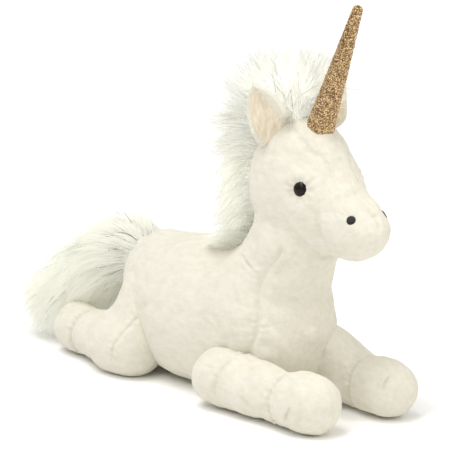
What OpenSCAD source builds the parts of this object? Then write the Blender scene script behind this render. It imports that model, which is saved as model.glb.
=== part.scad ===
// Plush unicorn, lying down with its head up.
// +Z is up, the nose points to -Y and the right-hand side is -X.
// The origin is on the floor, at the middle of the toy's outline.

/* [Fabric] */
// Thickness of the plush fabric
fabric_t = 2; // [1.5:0.1:2.5]
// Space between a cover and its filling
fill_gap = 0.2; // [0.1:0.1:0.4]
// Clearance between pieces that flex against each other
flex_gap = 0.6; // [0.5:0.1:1]

/* [Torso] */
// Widest part of the belly
body_w = 92; // [88:1:96]
// Height of the back above the floor
body_h = 107; // [104:1:109]
// Width of the chest gusset at its lower end
chest_gusset_w = 46; // [40:1:50]
// Width of the belly gusset
belly_gusset_w = 30; // [26:1:34]
// Diameter of the pellet bag in the belly
pellet_bag_d = 52; // [44:1:56]

/* [Neck] */
// Radius of the ball that the neck bends on, inside the shoulders
neck_ball_r = 37; // [35:0.5:38]
// Half the width of the neck where the head is sewn on
neck_top_r = 26; // [24:0.5:27]
// Radius of the stuffed core that runs up into the head
neck_core_r = 18; // [16:0.5:19]

/* [Head] */
// Widest part of the cheeks
head_w = 63; // [60:1:65]
// Width of the gusset over the forehead
forehead_gusset_w = 28; // [24:1:32]
// Width of the gusset under the jaw
jaw_gusset_w = 22; // [18:1:26]
// Diameter of the domed eyes
eye_d = 10; // [9:0.5:11]
// Diameter of the stitched nostrils
nostril_d = 6; // [5:0.5:7]

/* [Horn] */
// Length of the horn above the forehead
horn_l = 102; // [96:1:104]
// Radius of the horn at its base
horn_base_r = 10.2; // [9.5:0.1:11]
// Radius of the horn's round tip
horn_tip_r = 3.4; // [3:0.1:4]
// Forward lean of the horn from the vertical
horn_lean = 24; // [20:1:26]

/* [Ears] */
// Length of an ear from its root to its tip
ear_l = 41; // [38:1:43]
// Widest part of an ear
ear_w = 29; // [26:1:31]

/* [Legs] */
// Radius of a front leg at its elbow
elbow_r = 21.5; // [20:0.5:22]
// Radius of a front leg at its hoof seam
wrist_r = 18; // [17:0.5:19]
// Radius of a front hoof
hoof_r = 20.5; // [19.5:0.5:21]
// Distance from the middle of the toy to each elbow
front_leg_x = 38.5; // [38:0.5:40]
// How far each front hoof turns in towards the other
toe_in = 4.5; // [2:0.5:5]
// Radius of a hind leg at its knee
knee_r = 22; // [21:0.5:22.5]
// Radius of a hind hoof
hind_hoof_r = 18.5; // [17.5:0.5:19]
// Distance from the middle of the toy to each knee
hind_leg_x = 38; // [37:0.5:39]
// How far each hind hoof turns in towards the other
hind_toe_in = 8; // [5:0.5:10]

/* [Tail] */
// Radius of the fluffy tail at its thickest
tail_r = 29; // [27:1:30]
// Radius of the stuffed core of the tail
tail_core_r = 11; // [9:0.5:12]

/* [Hidden] */

plush = "#f4eedf";
fur = "#fbf9f0";
lining = "#d9c6a4";
glitter = "#a9793f";
glossy_black = "#15100e";
filling = "#ffffff";

far = 400;
sides = 22;
round_fn = 26;

// Joint centres. The same numbers are in the record's behaviour block.
neck_pivot = [0, -54, 74];
head_axis_y = -82;
neck_top_z = 123;
neck_long = 1.13;
head_core_z = 160;
elbow = [front_leg_x, -48, elbow_r + 0.5];
wrist_y = -112;
cuff_y = -117;
hip = [hind_leg_x, 68, 64];
hip_r = 15;
hock_y = 121;
tail_root = [0, 92, 76];
tail_ball_r = 17;
ear_root = [19.5, -86, 195];
ear_pose = [-40, -9, 44];
ear_fold_max = 15;
neck_bend_max = 8;

// Stations of the torso, from the rump to the chest:
// [y, height of the middle, half width, rise above the middle, drop below it].
torso_keys = [
    [101, 67, 4, 4, 5],
    [99, 67, 10, 11, 14],
    [94, 66, body_w * 0.2, 21, 27],
    [84, 63, body_w * 0.3, body_h - 74, 42],
    [70, 60, body_w * 0.38, body_h - 65, 54],
    [50, 57, body_w * 0.45, body_h - 60, 56],
    [20, 55, body_w * 0.495, body_h - 55, 57],
    [-10, 55, body_w * 0.49, body_h - 55, 57],
    [-40, 57, body_w * 0.46, body_h - 59, 54],
    [-66, 57, body_w * 0.42, body_h - 66, 48],
    [-84, 57, body_w * 0.34, body_h - 75, 40],
    [-93, 56, body_w * 0.2, 20, 24],
    [-97, 56, 6, 7, 7]];
torso_mid = [0, 2, 54];
torso_half = [body_w / 2, 99, body_h / 2];

// Stations of the head, from the nape to the nose.
head_keys = [
    [-47, 163, 5, 8, 8],
    [-50, 163, 15, 21, 22],
    [-60, 164, head_w * 0.39, 32, 32],
    [-74, 164, head_w * 0.475, 40, 41],
    [-90, 164, head_w * 0.5, 44.5, 44],
    [-106, 162, head_w * 0.48, 42, 42],
    [-119, 156, head_w * 0.42, 36, 38],
    [-131, 148, head_w * 0.36, 28, 31],
    [-143, 142, head_w * 0.335, 22, 25],
    [-154, 140, head_w * 0.3, 17, 20],
    [-163, 139, head_w * 0.21, 11, 14],
    [-168, 139, head_w * 0.11, 6, 7],
    [-170, 139, 2.5, 2.5, 2.5]];
head_mid = [0, -95, 161];
head_half = [head_w / 2, 75, 44];
muzzle_y = -133;
forehead_z = 167;

horn_foot = [0, -102.5, 196.5];
eye_at = [-head_w * 0.405, -115.5, 164.5];
eye_out = [0, -78, 12];
nostril_at = [-14.3, -155, 148];

// Points along a list of stations, passing smoothly through each one. Outer faces
// have an extra ring between stations, and the plainer faces inside them don't.
function ring_steps(depth) = depth > 0 ? 1 : 2;
function blend4(a, b, c, d, t) =
    0.5 * (2 * b + (c - a) * t + (2 * a - 5 * b + 4 * c - d) * t * t
           + (3 * b - a - 3 * c + d) * t * t * t);
function smooth(keys, steps) = concat(
    [for (i = [0 : len(keys) - 2])
        for (k = [0 : steps - 1])
            blend4(keys[max(i - 1, 0)], keys[i], keys[i + 1],
                   keys[min(i + 2, len(keys) - 1)], k / steps)],
    [keys[len(keys) - 1]]);

// One upright oval ring of a body, from its station. A sixth value moves it sideways.
function oval(s) =
    [for (i = [0 : sides - 1])
        let (a = 360 * (i + 0.5) / sides)
        [s[2] * cos(a) + (len(s) > 5 ? s[5] : 0), s[0],
         s[1] + (sin(a) > 0 ? s[3] : s[4]) * sin(a)]];

// Moves a point towards the middle of a body by the given depth along each axis.
function sunk(p, mid, half, depth) =
    [for (k = [0 : 2]) mid[k] + (p[k] - mid[k]) * (1 - depth / half[k])];

// A closed skin through a list of rings that run from +Y to -Y.
module skin(rings) {
    n = len(rings);
    m = len(rings[0]);
    points = [for (r = rings) each r];
    walls = [for (j = [0 : n - 2]) for (i = [0 : m - 1])
        [j * m + i, (j + 1) * m + i, (j + 1) * m + (i + 1) % m, j * m + (i + 1) % m]];
    caps = [[for (i = [0 : m - 1]) i], [for (i = [m - 1 : -1 : 0]) (n - 1) * m + i]];
    polyhedron(points, concat(walls, caps), convexity = 4);
}

module mirrored(side) {
    scale([side, 1, 1]) children();
}

// Hands its children on as one mesh.
module fused() {
    resize([0, 0, 0]) union() children();
}

// ---- Outer shapes, each sunk below the surface by a depth ----

module torso_shape(depth = 0) {
    rings = [for (s = smooth(torso_keys, ring_steps(depth)))
        [for (p = oval(s)) sunk(p, torso_mid, torso_half, depth)]];
    intersection() {
        skin(rings);
        translate([-far / 2, -far / 2, depth]) cube(far);
    }
}

module head_shape(depth = 0) {
    skin([for (s = smooth(head_keys, ring_steps(depth)))
        [for (p = oval(s)) sunk(p, head_mid, head_half, depth)]]);
    translate([0, head_axis_y, neck_top_z + depth]) scale([1, neck_long, 1])
        cylinder(h = 30 - depth, r = neck_top_r - depth, $fn = round_fn);
}

module neck_shape(depth = 0) {
    hull() {
        translate(neck_pivot) sphere(neck_ball_r - depth, $fn = round_fn);
        translate([0, head_axis_y - 1, neck_top_z - flex_gap - depth - 1])
            scale([1, neck_long, 1]) cylinder(h = 1, r = neck_top_r - depth, $fn = round_fn);
    }
}

// Half outline of a limb that tapers between two round ends, standing on the first.
function limb_outline(length, low_r, high_r) =
    let (lean = asin((low_r - high_r) / length), steps = 7)
    concat([[0, -low_r]],
        [for (i = [1 : steps]) let (a = -90 + (90 + lean) * i / steps)
            [low_r * cos(a), low_r * sin(a)]],
        [for (i = [0 : steps - 1]) let (a = lean + (90 - lean) * i / steps)
            [high_r * cos(a), length + high_r * sin(a)]],
        [[0, length + high_r]]);

// A round limb from one point to another, with a radius at each.
module limb(low, high, low_r, high_r) {
    d = high - low;
    length = norm(d);
    translate(low) rotate([0, acos(d[2] / length), atan2(d[1], d[0])])
        rotate_extrude($fn = 24) polygon(limb_outline(length, low_r, high_r));
}

module front_leg_shape(depth = 0) {
    limb(elbow, [front_leg_x - toe_in * 0.75, wrist_y, wrist_r + 1],
         elbow_r - depth, wrist_r - depth);
}

module front_hoof_shape(depth = 0) {
    limb([front_leg_x - toe_in * 0.9, -129, hoof_r], [front_leg_x - toe_in, -138, hoof_r],
         hoof_r - depth, hoof_r - depth);
}

module thigh_shape(depth = 0) {
    hull() {
        for (y = [-5, 5])
            translate([hip[0], hip[1] + y, knee_r]) sphere(knee_r - depth, $fn = 20);
        translate(hip) sphere(hip_r - depth, $fn = 20);
    }
}

module shank_shape(depth = 0) {
    hull() {
        translate([hind_leg_x - 1, 74, 19.5]) sphere(19 - depth, $fn = 16);
        translate([hind_leg_x - hind_toe_in * 0.8, hock_y, 17.5]) sphere(16.5 - depth, $fn = 16);
    }
}

module hind_hoof_shape(depth = 0) {
    limb([hind_leg_x - hind_toe_in * 0.8, 129, hind_hoof_r],
         [hind_leg_x - hind_toe_in, 140, hind_hoof_r],
         hind_hoof_r - depth, hind_hoof_r - depth);
}

// Stations of the tail's fur, from the root to the tip.
tail_keys = [
    [97, 80, 11, 12, 12, 0],
    [106, 82, tail_r * 0.8, 24, 24, 0],
    [122, 79, tail_r * 0.97, 30, 31, -2],
    [142, 69, tail_r, 29, 30, -5],
    [162, 56, tail_r, 28, 30, -9],
    [182, 42, tail_r * 0.97, 27, 40, -13],
    [198, 31, tail_r * 0.85, 23, 29, -16],
    [210, 25, tail_r * 0.57, 15, 19, -19],
    [217, 22, 5, 5, 5, -20]];
tail_bends = [[-5, 142, 66], [-14, 192, 32]];

// ---- Spaces that moving pieces sweep through, cut from what they move against ----

module neck_sweep() {
    hull() for (a = [-neck_bend_max, neck_bend_max])
        translate(neck_pivot) rotate([a, 0, 0]) translate(-neck_pivot) neck_shape(-flex_gap);
}

module front_leg_sweep() {
    for (side = [-1, 1]) mirrored(side)
        hull() for (end = [[0, 0], [-90, 0], [-70, -70]])
            translate(elbow + [0, end[0], end[1]])
                sphere(elbow_r + flex_gap, $fn = 24);
}

module hind_leg_sweep() {
    for (side = [-1, 1]) mirrored(side) {
        thigh_shape(-flex_gap);
        shank_shape(-flex_gap);
    }
}

module tail_sweep() {
    translate(tail_root) {
        sphere(tail_ball_r + flex_gap, $fn = 24);
        rotate([-90, 0, 0]) cylinder(h = 40, r1 = tail_ball_r + flex_gap, r2 = 60, $fn = 24);
        rotate([-45, 0, 0]) cylinder(h = 40, r1 = tail_ball_r + flex_gap, r2 = 40, $fn = 24);
    }
}

module torso_reliefs() {
    neck_sweep();
    front_leg_sweep();
    hind_leg_sweep();
    tail_sweep();
}

module head_reliefs() {
    // The head turns on the neck, so everything below the seam clears a round collar.
    translate([0, head_axis_y, 0]) cylinder(h = neck_top_z, r = 33, $fn = round_fn);
    translate([0, head_axis_y, neck_top_z - 1])
        cylinder(h = head_core_z - neck_top_z + 1 + flex_gap, r = neck_core_r + flex_gap, $fn = round_fn);
    horn_hole();
    for (side = [-1, 1]) mirrored(side) ear_groove();
}

// ---- Sewing patterns: the prisms that divide the skins into panels ----

module chest_pattern() {
    translate([0, -74, 0]) rotate([90, 0, 0]) linear_extrude(height = 56)
        polygon([[-chest_gusset_w / 2, 8], [chest_gusset_w / 2, 8],
                 [chest_gusset_w * 0.3, 150], [-chest_gusset_w * 0.3, 150]]);
}

module belly_pattern() {
    translate([-belly_gusset_w / 2, -200, -10]) cube([belly_gusset_w, 300, 22]);
}

module forehead_pattern() {
    translate([-forehead_gusset_w / 2, muzzle_y, forehead_z])
        cube([forehead_gusset_w, 60, 60]);
    translate([-forehead_gusset_w / 2, muzzle_y, forehead_z - 14])
        cube([forehead_gusset_w, 20, 40]);
}

module jaw_pattern() {
    translate([-jaw_gusset_w / 2, muzzle_y, 93]) cube([jaw_gusset_w, 60, 34]);
}

module right_half() {
    translate([-far, -far / 2, -far / 2]) cube([far, far, far]);
}

// ---- Torso ----

module torso_skin() {
    difference() {
        torso_shape();
        torso_shape(fabric_t);
        torso_reliefs();
    }
}

module body_side(side) {
    color(plush) fused() difference() {
        intersection() {
            torso_skin();
            mirrored(-side) right_half();
        }
        chest_pattern();
        belly_pattern();
    }
}

module chest_gusset() {
    color(plush) fused() difference() {
        intersection() {
            torso_skin();
            chest_pattern();
        }
        belly_pattern();
    }
}

module belly_gusset() {
    color(plush) fused() intersection() {
        torso_skin();
        belly_pattern();
    }
}

pellet_bag_at = [0, 20, 14];
pellet_bag_squash = 0.62;
pellet_gap = 0.3;

// A squashed ball, low in the belly.
module pellet_shape(extra = 0) {
    translate(pellet_bag_at) scale([pellet_bag_squash, 1, pellet_bag_squash])
        sphere(pellet_bag_d / 2 + extra, $fn = 20);
}

module body_stuffing() {
    color(filling) fused() difference() {
        torso_shape(fabric_t + fill_gap);
        torso_reliefs();
        pellet_shape(fill_gap);
    }
}

// The bag lies on the inside of the belly gusset.
module pellet_bag() {
    color("#e8e4da") fused() intersection() {
        pellet_shape();
        torso_shape(fabric_t + fill_gap + pellet_gap);
    }
}

// ---- Neck ----

module neck_skin() {
    difference() {
        neck_shape();
        neck_shape(fabric_t);
        translate([0, head_axis_y, neck_top_z - 10])
            cylinder(h = 20, r = neck_core_r + fill_gap, $fn = round_fn);
    }
}

module neck_side(side) {
    color(plush) fused() difference() {
        intersection() {
            neck_skin();
            mirrored(-side) right_half();
        }
        chest_pattern();
    }
}

module throat_gusset() {
    color(plush) fused() intersection() {
        neck_skin();
        chest_pattern();
    }
}

module neck_stuffing() {
    color(filling) fused() union() {
        neck_shape(fabric_t + fill_gap);
        translate([0, head_axis_y, neck_top_z - 20])
            cylinder(h = head_core_z - neck_top_z + 20, r = neck_core_r, $fn = round_fn);
    }
}

// Room for the mane to come down when the neck bends back.
mane_clear = 9;

// Ridge of long fur down the back of the neck.
module mane_lower() {
    color(fur) fused() difference() {
        hull() {
            translate([0, -42, neck_top_z - 6]) scale([0.72, 1.1, 0.3]) sphere(26, $fn = 24);
            translate([0, -24, neck_top_z - 8]) scale([0.6, 1.1, 0.3]) sphere(24, $fn = 24);
        }
        neck_shape(-0.05);
        translate([-far / 2, -far / 2, neck_top_z - flex_gap]) cube(far);
        torso_shape(-mane_clear);
    }
}

// ---- Head ----

module head_skin() {
    difference() {
        head_shape();
        head_shape(fabric_t);
        head_reliefs();
        for (side = [-1, 1]) mirrored(side) {
            eye_space();
            nostril_space();
        }
    }
}

module head_side(side) {
    color(plush) fused() difference() {
        intersection() {
            head_skin();
            mirrored(-side) right_half();
            translate([-far / 2, muzzle_y, 0]) cube(far);
        }
        forehead_pattern();
        jaw_pattern();
    }
}

module muzzle(side) {
    color(plush) fused() intersection() {
        head_skin();
        mirrored(-side) right_half();
        translate([-far / 2, muzzle_y - far, 0]) cube(far);
    }
}

module forehead_gusset() {
    color(plush) fused() intersection() {
        head_skin();
        forehead_pattern();
    }
}

module jaw_gusset() {
    color(plush) fused() intersection() {
        head_skin();
        jaw_pattern();
    }
}

module head_stuffing() {
    color(filling) fused() difference() {
        head_shape(fabric_t + fill_gap);
        head_reliefs();
        for (side = [-1, 1]) mirrored(side) {
            eye_space(fill_gap);
            nostril_space();
        }
    }
}

// ---- Eyes and nostrils ----

module at_eye() {
    translate(eye_at) rotate([0, eye_out[1], 0]) rotate([-eye_out[2], 0, 0]) children();
}

shank_r = 1.6;
shank_l = 13;
washer_r = 6;
washer_t = 1.4;
washer_depth = 7;

module eye_solid() {
    at_eye() {
        sphere(eye_d / 2, $fn = 48);
        translate([0, 0, -shank_l]) cylinder(h = shank_l, r = shank_r, $fn = 24);
    }
}

module eye_space(extra = 0) {
    at_eye() {
        sphere(eye_d / 2 + 0.15 + extra, $fn = 20);
        translate([0, 0, -shank_l - 0.2]) cylinder(h = shank_l, r = shank_r + 0.2, $fn = 16);
        if (extra > 0)
            translate([0, 0, -washer_depth - washer_t - extra])
                cylinder(h = washer_t + 2 * extra, r = washer_r + 0.1 + extra, $fn = 24);
    }
}

module eye(side) {
    color(glossy_black) mirrored(-side) eye_solid();
}

module eye_washer(side) {
    color("#dcdcdc") mirrored(-side) at_eye() translate([0, 0, -washer_depth - washer_t])
        difference() {
            cylinder(h = washer_t, r = washer_r, $fn = 48);
            translate([0, 0, -1]) cylinder(h = washer_t + 2, r = shank_r + 0.05, $fn = 24);
        }
}

module nostril_space() {
    translate(nostril_at) sphere(nostril_d / 2 + 0.1, $fn = 16);
}

module nostril(side) {
    color(glossy_black) mirrored(-side) translate(nostril_at) sphere(nostril_d / 2, $fn = 32);
}

// ---- Horn ----

module at_horn() {
    translate(horn_foot) rotate([horn_lean, 0, 0]) children();
}

// Half outline of a horn with a round tip.
module horn_outline(depth = 0) {
    tip = horn_tip_r - depth;
    foot = depth > 0 ? depth : -0.01;
    intersection() {
        hull() {
            translate([0, foot]) square([horn_base_r - depth, 0.5]);
            translate([0, horn_l - horn_tip_r]) circle(tip, $fn = 32);
        }
        translate([0, -1]) square([horn_base_r + 1, horn_l + 2]);
    }
}

module horn_hole() {
    at_horn() translate([0, 0, -0.05]) cylinder(h = 40, r = horn_base_r + 0.1, $fn = 32);
}

horn_wall = 1.2;

// Radius of the cone at a height above its foot, sunk by a depth.
function horn_r(h, depth) = horn_base_r - depth
    - (horn_base_r - horn_tip_r) * h / (horn_l - horn_tip_r);

module horn_body(depth, foot) {
    top = horn_l - horn_tip_r;
    translate([0, 0, foot])
        cylinder(h = top - foot, r1 = horn_r(foot, depth), r2 = horn_r(top, depth), $fn = 48);
    translate([0, 0, top]) sphere(horn_tip_r - depth, $fn = 48);
}

module horn_cover() {
    color(glitter) at_horn() difference() {
        horn_body(0, 0);
        horn_body(horn_wall, -1);
    }
}

module horn_stuffing() {
    color(filling) at_horn() horn_body(horn_wall + fill_gap, 0);
}

// ---- Ears ----

// Frame of the right-hand ear: local Y along its hinge, local Z up the ear.
module at_ear() {
    translate([-ear_root[0], ear_root[1], ear_root[2]]) rotate(ear_pose) children();
}

ear_root_r = 3.2;
ear_root_l = 20;
ear_slant = 10;
ear_curl_r = 20;
ear_foot = 2.5;

// Half the width of the ear, part of the way up it.
function ear_half(t) = ear_w / 2 * (t < 0.35 ? 0.62 + 0.38 * sin(t / 0.35 * 90)
                                              : pow(max(0, cos((t - 0.35) / 0.65 * 90)), 0.75));

// A cupped leaf whose outer face bends round a cylinder beside the ear.
module ear_leaf(outer_r, inner_r) {
    steps = 12;
    rise = ear_l - ear_foot;
    intersection() {
        translate([-ear_curl_r, 0, ear_foot]) rotate([90, 0, 90])
            linear_extrude(height = 2 * ear_curl_r) polygon(concat(
                [for (i = [0 : steps]) let (t = i / steps)
                    [-ear_half(t) - ear_slant * t, rise * t]],
                [for (i = [steps - 1 : -1 : 0]) let (t = i / steps)
                    [ear_half(t) - ear_slant * t, rise * t]]));
        translate([-ear_curl_r, 0, 0]) rotate([atan2(ear_slant, ear_l), 0, 0]) difference() {
            translate([0, 0, -10]) cylinder(h = 70, r = outer_r, $fn = 60);
            translate([0, 0, -11]) cylinder(h = 72, r = inner_r, $fn = 60);
        }
    }
}

module ear_groove() {
    scale([-1, 1, 1]) at_ear() rotate([90, 0, 0])
        cylinder(h = ear_root_l + 2 * flex_gap, r = ear_root_r + 2 * flex_gap, center = true, $fn = 20);
}

module ear_outer(side) {
    color(plush) fused() mirrored(-side) at_ear() {
        ear_leaf(ear_curl_r + fabric_t, ear_curl_r);
        rotate([90, 0, 0]) cylinder(h = ear_root_l, r = ear_root_r, center = true, $fn = 28);
    }
}

module ear_lining(side) {
    color(lining) fused() mirrored(-side) at_ear() difference() {
        ear_leaf(ear_curl_r, ear_curl_r - 1);
        rotate([90, 0, 0]) cylinder(h = 40, r = ear_root_r + 0.02, center = true, $fn = 28);
    }
}

// ---- Mane and forelock on the head ----

module mane_upper_shape(extra = 0) {
    hull() {
        translate([0, -40, neck_top_z + 16]) scale([0.72, 1.2, 0.6])
            sphere(26 + extra, $fn = 20);
        translate([0, -45, 188]) scale([0.62, 1.1, 1]) sphere(30 + extra, $fn = 20);
    }
}

module mane_upper() {
    color(fur) fused() difference() {
        mane_upper_shape();
        head_shape(-0.05);
        translate([-far / 2, -far / 2, neck_top_z - far]) cube(far);
        translate([0, head_axis_y, 0]) cylinder(h = neck_top_z + 1, r = 30, $fn = round_fn);
        for (side = [-1, 1]) mirrored(side) ear_swing();
    }
}

module forelock() {
    color(fur) fused() difference() {
        translate([0, -72, 224]) scale([0.7, 0.85, 1]) sphere(33, $fn = 22);
        head_shape(-0.05);
        horn_hole();
        for (side = [-1, 1]) mirrored(side) ear_swing();
        mane_upper_shape(0.05);
    }
}

// The space that an ear sweeps when it folds inwards.
module ear_swing() {
    scale([-1, 1, 1]) at_ear() hull() {
        rotate([90, 0, 0]) cylinder(h = ear_w + 2, r = ear_root_r + flex_gap, center = true, $fn = 20);
        for (a = [-ear_fold_max - 2, ear_fold_max + 2]) rotate([0, a, 0])
            translate([-2, -ear_w / 2 - ear_slant - 2, ear_l]) cube([5, ear_w + 4, 1]);
    }
}

// ---- Legs ----

module behind(y) {
    translate([0, y, -far / 2]) cube(far);
}

module ahead(y) {
    translate([0, y - far, -far / 2]) cube(far);
}

module front_leg_cover(side) {
    color(plush) mirrored(side) difference() {
        front_leg_shape();
        front_leg_shape(fabric_t);
        ahead(cuff_y);
    }
}

module front_hoof(side) {
    color(plush) mirrored(side) difference() {
        front_hoof_shape();
        front_hoof_shape(fabric_t);
        behind(cuff_y);
    }
}

module front_leg_stuffing(side) {
    color(filling) mirrored(side) {
        difference() {
            front_leg_shape(fabric_t + fill_gap);
            ahead(cuff_y);
        }
        difference() {
            front_hoof_shape(fabric_t + fill_gap);
            behind(cuff_y);
        }
    }
}

module hind_leg_cover(side) {
    color(plush) fused() mirrored(side) difference() {
        union() {
            thigh_shape();
            shank_shape();
        }
        thigh_shape(fabric_t);
        shank_shape(fabric_t);
        behind(hock_y);
    }
}

module hind_hoof(side) {
    color(plush) mirrored(side) difference() {
        hind_hoof_shape();
        hind_hoof_shape(fabric_t);
        ahead(hock_y);
    }
}

module hind_leg_stuffing(side) {
    color(filling) fused() mirrored(side) {
        difference() {
            union() {
                thigh_shape(fabric_t + fill_gap);
                shank_shape(fabric_t + fill_gap);
            }
            behind(hock_y);
        }
        difference() {
            hind_hoof_shape(fabric_t + fill_gap);
            ahead(hock_y);
        }
    }
}

// ---- Tail ----

module tail_core(extra = 0) {
    translate(tail_root) sphere(tail_ball_r + extra, $fn = 28);
    hull() {
        translate(tail_root) sphere(tail_core_r + extra, $fn = 20);
        translate(tail_bends[0]) sphere(tail_core_r + extra, $fn = 20);
    }
    hull() {
        translate(tail_bends[0]) sphere(tail_core_r + extra, $fn = 20);
        translate(tail_bends[1]) sphere(tail_core_r * 0.7 + extra, $fn = 20);
    }
}

module tail_fur() {
    color(fur) fused() difference() {
        skin([for (s = smooth([for (k = [len(tail_keys) - 1 : -1 : 0]) tail_keys[k]], 1)) oval(s)]);
        tail_core();
        translate([-far / 2, -far / 2, -far]) cube(far);
        for (side = [-1, 1]) mirrored(side) {
            shank_shape(-flex_gap);
            hind_hoof_shape(-flex_gap);
        }
    }
}

module tail_stuffing() {
    color(filling) fused() tail_core();
}

// ---- Build ----

centre_y = -24;

module placed() {
    translate([0, centre_y, 0]) children();
}

placed() body_side(-1);  // body_side_right
placed() body_side(1);  // body_side_left
placed() chest_gusset();
placed() belly_gusset();
placed() body_stuffing();
placed() pellet_bag();
placed() neck_side(-1);  // neck_side_right
placed() neck_side(1);  // neck_side_left
placed() throat_gusset();
placed() neck_stuffing();
placed() mane_lower();
placed() head_side(-1);  // head_side_right
placed() head_side(1);  // head_side_left
placed() forehead_gusset();
placed() jaw_gusset();
placed() muzzle(-1);  // muzzle_right
placed() muzzle(1);  // muzzle_left
placed() head_stuffing();
placed() mane_upper();
placed() forelock();
placed() horn_cover();
placed() horn_stuffing();
placed() tail_fur();
placed() tail_stuffing();
placed() eye(-1);  // eye_right
placed() eye(1);  // eye_left
placed() eye_washer(-1);  // eye_washer_right
placed() eye_washer(1);  // eye_washer_left
placed() nostril(-1);  // nostril_right
placed() nostril(1);  // nostril_left
placed() ear_outer(-1);  // ear_outer_right
placed() ear_outer(1);  // ear_outer_left
placed() ear_lining(-1);  // ear_lining_right
placed() ear_lining(1);  // ear_lining_left
placed() front_leg_cover(-1);  // front_leg_cover_right
placed() front_leg_cover(1);  // front_leg_cover_left
placed() front_hoof(-1);  // front_hoof_right
placed() front_hoof(1);  // front_hoof_left
placed() front_leg_stuffing(-1);  // front_leg_stuffing_right
placed() front_leg_stuffing(1);  // front_leg_stuffing_left
placed() hind_leg_cover(-1);  // hind_leg_cover_right
placed() hind_leg_cover(1);  // hind_leg_cover_left
placed() hind_hoof(-1);  // hind_hoof_right
placed() hind_hoof(1);  // hind_hoof_left
placed() hind_leg_stuffing(-1);  // hind_leg_stuffing_right
placed() hind_leg_stuffing(1);  // hind_leg_stuffing_left
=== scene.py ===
"""Looks of the lying plush unicorn: sewn plush covers, long pile, a glitter horn and stitches.

Shapes are worked out in millimetres in part.scad's sewing frame: x is across, y runs from the nose
(-) to the tail (+) and z is up. row() takes them to metres in the shared frame.
"""

import math

import bpy
import numpy as np
from mathutils import Matrix, Vector


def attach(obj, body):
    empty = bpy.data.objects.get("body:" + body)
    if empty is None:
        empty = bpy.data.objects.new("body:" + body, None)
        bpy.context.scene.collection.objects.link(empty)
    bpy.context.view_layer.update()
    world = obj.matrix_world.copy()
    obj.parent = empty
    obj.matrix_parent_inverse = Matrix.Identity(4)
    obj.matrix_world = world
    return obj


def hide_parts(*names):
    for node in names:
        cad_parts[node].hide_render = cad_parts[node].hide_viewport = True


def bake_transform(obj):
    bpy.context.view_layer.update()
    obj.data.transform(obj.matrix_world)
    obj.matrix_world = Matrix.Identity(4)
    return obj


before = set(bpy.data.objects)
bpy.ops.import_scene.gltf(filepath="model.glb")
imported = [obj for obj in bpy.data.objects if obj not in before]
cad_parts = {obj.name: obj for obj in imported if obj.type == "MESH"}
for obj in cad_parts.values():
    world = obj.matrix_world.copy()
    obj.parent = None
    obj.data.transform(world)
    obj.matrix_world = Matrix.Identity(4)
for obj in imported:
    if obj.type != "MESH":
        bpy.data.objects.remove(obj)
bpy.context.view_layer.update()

MM = 0.001
MIDDLE = np.array([0.0, -24.0, 0.0])
SIDES = {"right": -1, "left": 1}

# ---- Sewing dimensions, the same as the CAD model's ----

BODY_W = 92
BODY_H = 107
HEAD_W = 63
CUFF_Y = -117
HOCK_Y = 121
MUZZLE_Y = -134
ELBOW = (38.5, -48, 22)
WRIST = (35.1, -112, 19)
HOOF_BACK = (34.45, -129, 20.5)
HOOF_FRONT = (34, -138, 20.5)
HORN_FOOT = (0, -102.5, 196.5)
HORN_LEAN = math.radians(24)
HORN_L = 102
HORN_R = 10.2
HORN_TIP_R = 3.4
EYE = (25.5, -115.5, 164.5)
EYE_R = 5
NOSTRIL = (14.3, -155, 148)
NOSTRIL_R = 3
EAR_ROOT = (19.5, -86, 195)
EAR_L = 41
EAR_W = 29

# Stations from the rump to the chest: y, middle, half width, rise and drop.
TORSO = [
    (101, 67, 4, 4, 5),
    (99, 67, 10, 11, 14),
    (94, 66, BODY_W * 0.2, 21, 27),
    (84, 63, BODY_W * 0.3, BODY_H - 74, 42),
    (70, 60, BODY_W * 0.38, BODY_H - 65, 54),
    (50, 57, BODY_W * 0.45, BODY_H - 60, 56),
    (20, 55, BODY_W * 0.495, BODY_H - 55, 57),
    (-10, 55, BODY_W * 0.49, BODY_H - 55, 57),
    (-40, 57, BODY_W * 0.46, BODY_H - 59, 54),
    (-66, 57, BODY_W * 0.42, BODY_H - 66, 48),
    (-84, 57, BODY_W * 0.34, BODY_H - 75, 40),
    (-93, 56, BODY_W * 0.2, 20, 24),
    (-97, 56, 6, 7, 7),
]
# The same from the nape to the nose.
HEAD = [
    (-47, 163, 5, 8, 8),
    (-50, 163, 15, 21, 22),
    (-60, 164, HEAD_W * 0.39, 32, 32),
    (-74, 164, HEAD_W * 0.475, 40, 41),
    (-90, 164, HEAD_W * 0.5, 44.5, 44),
    (-106, 162, HEAD_W * 0.48, 42, 42),
    (-119, 156, HEAD_W * 0.42, 36, 38),
    (-131, 148, HEAD_W * 0.36, 28, 31),
    (-143, 142, HEAD_W * 0.335, 22, 25),
    (-154, 140, HEAD_W * 0.3, 17, 20),
    (-163, 139, HEAD_W * 0.21, 11, 14),
    (-168, 139, HEAD_W * 0.11, 6, 7),
    (-170, 139, 2.5, 2.5, 2.5),
]


def row(points):
    """Sewing frame in millimetres to the shared frame in metres."""
    return (np.asarray(points, float) + MIDDLE) * MM


# ---- Distance fields ----


def stations(keys, per_span=10):
    """Rows of a smooth curve through the keys, sorted by y."""
    keys = np.array(keys, float)
    ends = np.vstack([keys[0], keys, keys[-1]])
    t = np.linspace(0, 1, per_span, endpoint=False)[:, None]
    spans = []
    for a, b, c, d in zip(ends[:-3], ends[1:-2], ends[2:-1], ends[3:]):
        bend = (2 * a - 5 * b + 4 * c - d) * t**2 + (3 * b - a - 3 * c + d) * t**3
        spans.append(0.5 * (2 * b + (c - a) * t + bend))
    rows = np.vstack(spans + [keys[-1:]])
    return rows[np.argsort(rows[:, 0])]


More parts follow.
